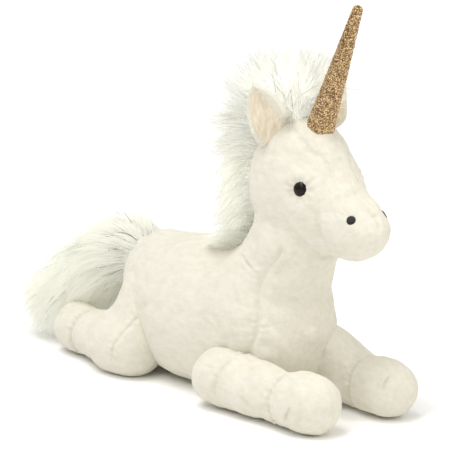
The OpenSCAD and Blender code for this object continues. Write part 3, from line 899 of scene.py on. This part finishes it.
def ear_sheet(name, side, inset, lift, thick, material):
    """A closed cupped sheet that follows the ear."""
    across, up = 18, 22
    a = np.linspace(-1, 1, across + 1)
    t = np.linspace(0, 1, up + 1) ** 0.9
    t, a = t * (1 - inset * 0.6), a * (1 - 2.3 * inset) + 1.3 * inset
    grid_t, grid_a = np.meshgrid(t, a, indexing="ij")
    ripple = 0.25 * waves(np.stack([grid_a * 14, grid_t * 40, 0 * grid_t], -1), 16, 61)
    fold = 1.8 * fade(-grid_a, 0.34, 0.5) * (thick > 1)
    outer = ear_points(grid_a, grid_t, lift + thick + ripple)
    inner = ear_points(grid_a, grid_t, lift - fold + ripple)
    n = (up + 1) * (across + 1)
    verts = np.vstack([outer.reshape(-1, 3), inner.reshape(-1, 3)])

    def at(i, j):
        return i * (across + 1) + j

    faces = []
    for i in range(up):
        for j in range(across):
            q = (at(i, j), at(i, j + 1), at(i + 1, j + 1), at(i + 1, j))
            faces.append(q)
            faces.append(tuple(n + k for k in reversed(q)))
    rim = [at(0, j) for j in range(across)] + [at(i, across) for i in range(up)]
    rim += [at(up, j) for j in range(across, 0, -1)] + [at(i, 0) for i in range(up, 0, -1)]
    for k, m in zip(rim, rim[1:] + rim[:1]):
        faces.append((m, k, n + k, n + m))
    verts = ear_place(verts)
    foot = ear_place(ear_points(grid_a, 0 * grid_t, 0.0).reshape(-1, 3))
    seam_line = np.stack([np.interp(grid_a.ravel(), [-1, 0, 1], k) for k in EAR_SEAM.T], -1)
    bend = (seam_line - foot) * (1 - fade(grid_t.ravel(), 0, 0.5))[:, None]
    verts = verts + np.tile(bend, (2, 1))
    if side == "left":
        turn = EAR_TOE * fade(np.tile(grid_t.ravel(), 2), 0, 0.5)
        x, y = verts[:, 0] + EAR_ROOT[0], verts[:, 1] - EAR_ROOT[1]
        verts[:, 0] = x * np.cos(turn) - y * np.sin(turn) - EAR_ROOT[0]
        verts[:, 1] = x * np.sin(turn) + y * np.cos(turn) + EAR_ROOT[1]
    sign = -SIDES[side]
    piece = make(name, row(verts * (sign, 1, 1)), faces, material)
    if sign < 0:
        piece.data.flip_normals()
    subdivide(piece)
    return piece


def build_ear(side):
    body = f"ear_{side}"
    shell = ear_sheet(f"ear_plush_{side}", side, 0.0, 0.0, 2.4, PLUSH)
    satin = ear_sheet(f"ear_satin_{side}", side, 0.14, -0.55, 0.7, LINING)
    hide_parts(f"ear_outer_{side}")
    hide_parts(f"ear_lining_{side}")
    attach(shell, body)
    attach(satin, body)


# ---- Eyes and nostrils ----


# The dome's rim stands a little over the cloth round it.
EYE_RIM = 1.1 * EYE_R
EYE_RISE = 3.9
EYE_SUNK = 0.5
SHANK_R = 1.6
SHANK_L = 4.0


def build_eye(side):
    """A low glossy dome on its shank, and a material for the CAD washer behind it."""
    centre = EYE * np.array([SIDES[side], 1, 1])
    out = unit(gradient(trunk, centre[None])[0])
    spin = np.array(Vector(out).to_track_quat("Z", "Y").to_matrix())
    rings, around = 18, 40
    profile = [(SHANK_R, -SHANK_L), (SHANK_R, -1.2), (EYE_RIM - 0.3, -1.1), (EYE_RIM, -0.7)]
    arc = np.linspace(0.0, 1.45, rings)
    profile += [(EYE_RIM * math.cos(a), EYE_RISE * math.sin(a)) for a in arc]
    verts = []
    for r, h in profile:
        a = np.linspace(0, 2 * np.pi, around, endpoint=False)
        verts.append(np.stack([r * np.cos(a), r * np.sin(a), np.full(around, h)], 1))
    rows = len(verts)
    verts = np.vstack(verts + [[(0, 0, EYE_RISE)]])
    faces = [tuple(range(around - 1, -1, -1))] + bands(rows, around)
    last = (rows - 1) * around
    faces += [(last + k, last + (k + 1) % around, rows * around) for k in range(around)]
    sunk = centre - out * EYE_SUNK
    piece = make(f"eye_dome_{side}", row(verts @ spin.T + sunk), faces, EYE_PLASTIC)
    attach(piece, "head")
    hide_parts(f"eye_{side}")
    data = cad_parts[f"eye_washer_{side}"].data
    data.materials.clear()
    data.materials.append(WASHER)


STITCHES = 11
THREAD_R = 0.36


def tube(points, radius, sides=8):
    """Vertices and faces of a closed tube along points."""
    points = np.asarray(points, float)
    way = unit(np.gradient(points, axis=0))
    u = unit(np.cross(way, np.array([0.3, 0.2, 0.93])))
    v = np.cross(way, u)
    a = np.linspace(0, 2 * np.pi, sides, endpoint=False)
    ring = np.cos(a)[None, :, None] * u[:, None] + np.sin(a)[None, :, None] * v[:, None]
    size = radius * np.concatenate([[0.4], np.ones(len(points) - 2), [0.4]])
    verts = (points[:, None] + ring * size[:, None, None]).reshape(-1, 3)
    faces = [quad[::-1] for quad in bands(len(points), sides)]
    faces.append(tuple(range(sides)))
    faces.append(tuple((len(points) - 1) * sides + k for k in reversed(range(sides))))
    return verts, faces


def gather(parts):
    """Joins (vertices, faces) pairs into one pair."""
    verts, faces, start = [], [], 0
    for v, f in parts:
        verts.append(v)
        faces += [tuple(start + i for i in q) for q in f]
        start += len(v)
    return np.vstack(verts), faces


def build_nostril(side):
    """Satin stitches laid side by side over a small pad."""
    centre = project(trunk, NOSTRIL * np.array([[SIDES[side], 1, 1]]))[0]
    out = unit(gradient(trunk, centre[None])[0])
    up = unit(np.array([0, 0, 1.0]) - out * out[2])
    side_way = np.cross(up, out)
    parts = []
    for s in np.linspace(-0.92, 0.92, STITCHES):
        half = NOSTRIL_R * math.sqrt(1 - s * s) + 0.35
        t = np.linspace(-1, 1, 9)
        line = centre + side_way * s * NOSTRIL_R + up * (t * half)[:, None]
        crown = 0.55 * np.sqrt(np.maximum(1 - t * t, 0)) * math.sqrt(1.05 - s * s)
        parts.append(tube(line + out * (crown - 0.75)[:, None], THREAD_R))
    verts, faces = gather(parts)
    piece = make(f"nostril_stitches_{side}", row(verts), faces, THREAD)
    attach(piece, "head")
    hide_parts(f"nostril_{side}")


# ---- Long pile ----

SEGMENTS = 6
ROOT_DEPTH = 1.5
FIBRE_W = 0.6
TAIL_FIBRE_W = 0.7
# How much the tips of a lock draw together, and the share of fibres that stray from theirs.
CLUMP = 0.7
STRAY = 0.06


def bezier(a, b, c, d):
    """Points along cubic curves, one curve per row."""
    t = np.linspace(0, 1, SEGMENTS + 1)[None, :, None]
    a, b, c, d = (q[:, None] for q in (a, b, c, d))
    return a * (1 - t) ** 3 + 3 * b * t * (1 - t) ** 2 + 3 * c * t * t * (1 - t) + d * t**3


def locks(root, out, rise, fall, length, shares):
    """Guide curves that rise from the skin and then fall, each share a part of their length."""
    up_b, up_c, down_c, down_d = (share * length[:, None] for share in shares)
    c = root + rise * up_c + fall * down_c
    return bezier(root - out * ROOT_DEPTH, root + rise * up_b, c, c + fall * down_d)


def push_out(lines, field, gap):
    """Moves points of the curves out of a solid."""
    flat = lines.reshape(-1, 3)
    deep = field(flat) - gap
    inside = deep < 0
    if inside.any():
        g = gradient(field, flat[inside])
        g /= np.maximum(np.linalg.norm(g, axis=1), 0.2)[:, None]
        flat[inside] -= g * deep[inside][:, None]
    return flat.reshape(lines.shape)


def pile(name, guides, outs, count, width, seed, spread=3.0, material=FUR):
    """Tapered fibres grouped round guide curves, as one piece of thin ribbons.

    guides are curves in the sewing frame, outs the direction that faces away from the skin at each.
    """
    rng = np.random.default_rng(seed)
    pick = rng.integers(0, len(guides), count)
    t = np.linspace(0, 1, SEGMENTS + 1)[None, :, None]
    offset = rng.normal(size=(count, 1, 3)) * spread
    gather_in = 1 - CLUMP * rng.uniform(0.5, 1.1, (count, 1, 1)) * t**1.2
    loose = (rng.uniform(0, 1, (count, 1, 1)) < STRAY) * 1.0
    wild = rng.normal(size=(count, 1, 3)) * (1.2 + 2.6 * loose) * t**1.6
    reach = rng.uniform(0.62, 1.08, (count, 1, 1)) * (1 + 0.1 * loose)
    base = guides[pick]
    root = base[:, :1]
    lines = root + (base - root) * reach + offset * gather_in + wild
    bow = rng.normal(size=(count, 1, 3)) * 1.2
    lines = lines + bow * np.sin(np.pi * t)
    lines[..., 2] = np.maximum(lines[..., 2], 0.4)

    way = unit(np.gradient(lines, axis=1))
    outs = outs[pick][:, None]
    across = unit(np.cross(way, outs + rng.normal(size=(count, 1, 3)) * 0.45))
    slim = (np.linspace(1.0, 0.12, SEGMENTS + 1) ** 0.7)[None, :, None]
    half = 0.5 * width * slim * rng.uniform(0.7, 1.3, (count, 1, 1))
    verts = np.stack([lines - across * half, lines + across * half], 2).reshape(-1, 3)
    ring = np.arange(count)[:, None] * (SEGMENTS + 1) * 2 + np.arange(SEGMENTS)[None] * 2
    faces = np.stack([ring, ring + 1, ring + 3, ring + 2], -1).reshape(-1, 4)

    facing = np.cross(across, way)
    facing *= np.sign((facing * outs).sum(-1, keepdims=True) + 1e-9)
    soft = unit(facing * 0.35 + outs * 0.9 + way * 0.15)
    soft = np.repeat(soft[:, :, None], 2, 2).reshape(-1, 3)
    piece = make(name, row(verts), faces, material)
    piece.data.normals_split_custom_set_from_vertices([tuple(n) for n in soft])
    return piece


def along_line(points, u):
    """Points part of the way along a line, by its length."""
    points = np.array(points, float)
    run = np.concatenate([[0], np.cumsum(np.linalg.norm(np.diff(points, axis=0), axis=1))])
    return np.stack([np.interp(u * run[-1], run, points[:, k]) for k in range(3)], -1)


# Middle of the mane, from between the ears to the withers.
CREST = [(0, -84, 209), (0, -66, 203), (0, -54, 188), (0, -49, 168)]
CREST += [(0, -50, 148), (0, -44, 128), (0, -28, 112), (0, -6, 108)]


def behind_ears(lines):
    """Moves points of the curves back behind the ears."""
    for sign in (1, -1):
        middle = ear_place(ear_points(np.array([0.0]), np.array([0.5])))[0] * (sign, 1, 1)
        front = EAR_TURN @ (-1.0, 0.0, 0.0) * (sign, 1, 1)
        off = lines - middle
        ahead = off @ front
        beside = np.linalg.norm(off - ahead[..., None] * front, axis=-1)
        back = np.maximum(ahead + 8, 0) * (1 - fade(beside, 22, 30)) * (ahead < 25)
        lines = lines - back[..., None] * front
    return lines


def crest_roots(rng, count, start, end, half_width):
    """Points in a strip down the crest, with the skin's outward direction."""
    u = rng.uniform(start, end, count)
    p = along_line(CREST, u)
    p[:, 0] += rng.uniform(-1, 1, count) * half_width
    p = project(trunk, p)
    return u, p, unit(gradient(trunk, p))


def build_mane_upper():
    rng = np.random.default_rng(71)
    u, root, out = crest_roots(rng, 520, 0.05, 0.62, 13)
    lean = rng.uniform(-1, 0.75, len(u))
    length = rng.uniform(38, 54, len(u))
    length = length * np.interp(u, [0, 0.2, 0.35, 0.62], [0.95, 0.9, 0.78, 0.78])
    back = np.array([0, 1.0, 0.0])
    stages = [0.05, 0.22, 0.42, 0.62]
    aft = np.interp(u, stages, [1.0, 0.85, 0.5, 0.42])
    drop = np.interp(u, stages, [0.35, -0.15, -0.8, -0.95]) + 0.2 * rng.normal(size=len(u))
    fall = unit(np.stack([0.62 * lean - 0.1, aft, drop], 1))
    lift = unit(out * 0.9 + back * 0.25 + np.array([0, 0, 0.25]))
    side = np.array([1.0, 0, 0]) * (0.35 * lean)[:, None]
    lines = locks(root, out, unit(lift + side), fall, length, (0.30, 0.34, 0.38, 0.36))
    guides = behind_ears(push_out(lines, trunk, 1.5))
    outs = unit(out * 0.7 + back * 0.5 + side)
    piece = pile("mane_upper_fur", guides, outs, 14000, FIBRE_W, 72)
    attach(piece, "head")
    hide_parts("mane_upper")


def build_mane_lower():
    rng = np.random.default_rng(75)
    u, root, out = crest_roots(rng, 260, 0.58, 0.98, 10)
    lean = rng.uniform(-1, 0.8, len(u))
    length = rng.uniform(26, 40, len(u)) * np.interp(u, [0.58, 0.8, 0.98], [1.0, 0.9, 0.55])
    back = np.array([0, 1.0, 0.0])
    fall = unit(np.stack([0.8 * lean, np.full(len(u), 0.7), np.full(len(u), -0.35)], 1))
    side = np.array([1.0, 0, 0]) * (0.5 * lean)[:, None]
    lift = unit(out + back * 0.5 + side)
    lines = locks(root, out, lift, fall, length, (0.3, 0.35, 0.35, 0.35))
    guides = push_out(lines, trunk, 1.5)
    outs = unit(out + back * 0.3)
    piece = pile("mane_lower_fur", guides, outs, 7000, FIBRE_W, 76, material=TAIL_FUR)
    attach(piece, "neck")
    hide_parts("mane_lower")


def build_forelock():
    """A full tuft that stands up between the ears and spreads out behind them."""
    rng = np.random.default_rng(81)
    n = 640
    root = np.stack([rng.uniform(-12, 12, n), rng.uniform(-92, -62, n), np.full(n, 205.0)], 1)
    root = project(trunk, root)
    out = unit(gradient(trunk, root))
    way = unit(rng.normal(size=(n, 3)))
    way[:, 2] = np.abs(way[:, 2]) * 0.85 + 0.1
    way = unit(way + 0.5 * np.stack([root[:, 0] / 14, (root[:, 1] + 76) / 16, np.full(n, 0.2)], 1))
    near = way[:, 0] < 0
    way[:, 0] *= np.interp(way[:, 1], [-0.6, 0.15], [0.2, 1.0]) * near + ~near
    way = unit(way)
    size = np.stack([np.where(near, 44, 62), np.full(n, 40), np.full(n, 42)], 1)
    middle = np.stack([np.zeros(n), np.where(near, -63, -78), np.full(n, 214)], 1)
    tip = middle + way * size * rng.uniform(0.84, 1.0, (n, 1))
    b = root + out * 14 + way * (8, 8, 4)
    c = (root * 0.4 + tip * 0.6) + way * (6, 5, 3)
    lines = bezier(root - out * ROOT_DEPTH, b, c, tip)
    guides = behind_ears(push_out(lines, trunk, 1.0))
    outs = unit(way + np.array([0, 0.1, 0.2]))
    piece = pile("forelock_fur", guides, outs, 15000, FIBRE_W, 82, spread=2.4)
    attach(piece, "head")
    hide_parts("forelock")


# Middle of the tail, from its root to its end.
TAIL_LINE = [(0, 92, 77), (0, 108, 80), (-2, 124, 76), (-5, 142, 66)]
TAIL_LINE += [(-9, 162, 52), (-13, 180, 38), (-15, 194, 28)]


def legs(p):
    return np.minimum(hind_leg(p), hind_leg(p * (-1, 1, 1)))


def build_tail():
    rng = np.random.default_rng(91)
    n = 760
    u = rng.uniform(0, 1, n) ** 0.9
    centre = along_line(TAIL_LINE, u)
    before = along_line(TAIL_LINE, np.maximum(u - 0.04, 0))
    ahead = unit(along_line(TAIL_LINE, np.minimum(u + 0.04, 1)) - before)
    side = unit(np.cross(ahead, np.array([0, 0, 1.0])))
    top = np.cross(side, ahead)
    angle = rng.uniform(0, 2 * np.pi, n)
    out = side * np.cos(angle)[:, None] + top * np.sin(angle)[:, None]
    core = np.interp(u, [0, 0.5, 1], [13, 11, 7])
    root = centre + out * core[:, None]
    length = rng.uniform(32, 48, n) * np.interp(u, [0, 0.6, 0.85, 1], [0.9, 1.0, 0.85, 0.6])
    down = np.array([0, 0, -1.0])
    splay = np.interp(u, [0, 0.3, 0.8, 1], [0.75, 0.85, 0.75, 0.5])[:, None]
    b = root + unit(out * splay + ahead * 0.5) * (length * 0.33)[:, None]
    c = b + unit(out * splay * 0.5 + ahead * 0.9 + down * 0.1) * (length * 0.33)[:, None]
    d = c + unit(out * 0.12 + ahead * 0.8 + down * 0.55) * (length * 0.34)[:, None]
    guides = bezier(root - out * 3, b, c, d)
    guides = push_out(push_out(guides, legs, 1.5), trunk, 1.0)
    guides[..., 2] = np.maximum(guides[..., 2], 1.0)
    piece = pile("tail_fur_strands", guides, out, 16000, TAIL_FIBRE_W, 92, material=TAIL_FUR)
    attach(piece, "tail")
    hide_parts("tail_fur")


TAIL_BOX = ((-26, 76, 12), (18, 204, 98))
TAIL_STEP = 3.0


def tail_core(p):
    d = cone(p, TAIL_LINE[0], TAIL_LINE[2], 15, 13)
    d = join(d, cone(p, TAIL_LINE[2], TAIL_LINE[4], 13, 11), 4)
    return join(d, cone(p, TAIL_LINE[4], TAIL_LINE[6], 11, 7), 4)


def build_tail_core():
    verts, faces = net(tail_core, *TAIL_BOX, TAIL_STEP)
    piece = make("tail_core_plush", row(verts), faces, TAIL_FUR)
    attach(piece, "tail")
    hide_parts("tail_stuffing")


# ---- Stage ----

AZIMUTH = math.radians(-38)
ELEVATION = math.radians(12.2)
DISTANCE = 2.0
TARGET = Vector((0, -0.024, 0.1168))
LENS = 224
FLOOR_REACH = 30
SKY_EDGE = 0.34
SKY_TOP = 0.95


def spot(azimuth, elevation, distance):
    """A point at a distance from the toy's middle."""
    flat = math.cos(elevation)
    way = Vector((math.sin(azimuth) * flat, -math.cos(azimuth) * flat, math.sin(elevation)))
    return TARGET + way * distance


def look_from(thing, place):
    thing.location = place
    thing.rotation_euler = (TARGET - place).to_track_quat("-Z", "Y").to_euler()
    bpy.context.scene.collection.objects.link(thing)


def build_camera():
    camera = bpy.data.objects.new("camera", bpy.data.cameras.new("camera"))
    camera.data.lens = LENS
    camera.data.clip_end = 60
    look_from(camera, spot(AZIMUTH, ELEVATION, DISTANCE))
    bpy.context.scene.camera = camera


def area_light(name, azimuth, elevation, distance, size, power, colour):
    light = bpy.data.lights.new(name, "AREA")
    light.size = size
    light.energy = power
    light.color = colour
    place = spot(math.radians(azimuth), math.radians(elevation), distance)
    look_from(bpy.data.objects.new(name, light), place)


def build_stage():
    paper = two_tone("paper_floor", (3,), (0.93, 0.93, 0.93), (0.95, 0.95, 0.95), Roughness=0.9,
                     Specular_IOR_Level=0.1)
    corners = [(-1, -1, 0), (1, -1, 0), (1, 1, 0), (-1, 1, 0)]
    floor = make("floor", FLOOR_REACH * np.array(corners), [(0, 1, 2, 3)], paper)
    world = bpy.data.worlds.new("studio")
    world.use_nodes = True
    tree = world.node_tree
    sky = tree.nodes["Background"]
    sky.inputs["Color"].default_value = (1, 1, 1, 1)
    place = tree.nodes.new("ShaderNodeTexCoord")
    split = tree.nodes.new("ShaderNodeSeparateXYZ")
    height = tree.nodes.new("ShaderNodeMapRange")
    set_inputs(height, {"To Min": SKY_EDGE, "To Max": SKY_TOP})
    tree.links.new(place.outputs["Generated"], split.inputs["Vector"])
    tree.links.new(split.outputs["Z"], height.inputs["Value"])
    tree.links.new(height.outputs["Result"], sky.inputs["Strength"])
    bpy.context.scene.world = world
    sun = bpy.data.lights.new("key", "SUN")
    sun.energy = 1.36
    sun.angle = math.radians(32)
    sun.color = (1.0, 0.995, 0.99)
    look_from(bpy.data.objects.new("key", sun), spot(math.radians(-98), math.radians(72), 3))
    area_light("fill", 22, 28, 2.0, 1.2, 8.0, (1.0, 0.92, 0.79))
    area_light("catch", -62, 40, 1.5, 0.2, 3.2, (1.0, 1.0, 1.0))
    bpy.context.scene.cycles.max_bounces = 16
    bpy.context.scene.cycles.diffuse_bounces = 8
    bpy.context.scene.view_settings.view_transform = "Standard"


build_camera()
build_stage()
build_trunk()
for leg_side in SIDES:
    shape = far_front_leg if leg_side == "left" else front_leg
    build_leg("front_leg", leg_side, shape, FRONT_LEG_BOX, front_leg_pins, front_leg_seams,
              ("front_leg_cover", "front_hoof", "front_leg_stuffing"))
    build_leg("hind_leg", leg_side, hind_leg, HIND_LEG_BOX, hind_leg_pins, hind_leg_seams,
              ("hind_leg_cover", "hind_hoof", "hind_leg_stuffing"))
    build_ear(leg_side)
    build_nostril(leg_side)
    build_eye(leg_side)
build_horn()
build_mane_upper()
build_mane_lower()
build_forelock()
build_tail()
build_tail_core()
